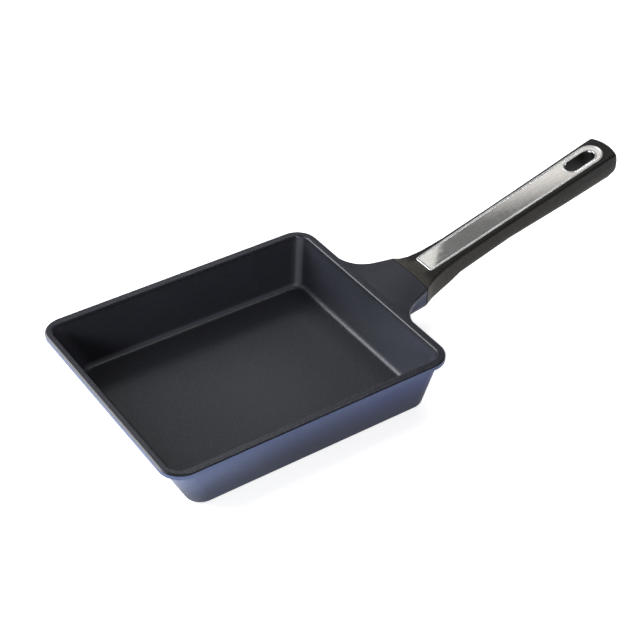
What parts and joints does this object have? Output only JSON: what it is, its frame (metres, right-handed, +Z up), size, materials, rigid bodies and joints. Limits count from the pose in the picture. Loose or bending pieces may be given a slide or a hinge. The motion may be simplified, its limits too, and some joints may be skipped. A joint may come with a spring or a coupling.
{
  "type": "tamagoyaki pan",
  "caption": "Rectangular rolled-omelette pan with leaning walls, a flat rim lip and a flared cast neck that carries a fixed, upswept moulded grip with a bright inlaid trim and a hang slot.",
  "frame": {"origin": "on the underside of the floor, under the middle of the rim", "axes": "+Z up out of the pan, +X from the middle of the pan along the handle"},
  "size_m": [0.3665, 0.154, 0.0796],
  "materials": {
    "coated_casting": "die-cast aluminium, matt black non-stick coat inside and on the rim, satin metallic blue outside",
    "base_steel": "brushed magnetic stainless sheet",
    "phenolic": "satin black moulded phenolic",
    "bright_trim": "polished border round a finely brushed field",
    "fastener_steel": "zinc-plated steel"
  },
  "bodies": {
    "root": {"pan_body": "coated_casting", "induction_base": "base_steel", "handle_grip": "phenolic", "handle_trim": "bright_trim", "handle_screw": "fastener_steel", "flat_washer": "fastener_steel", "lock_washer": "fastener_steel", "thread_insert": "fastener_steel"}
  },
  "joints": []
}
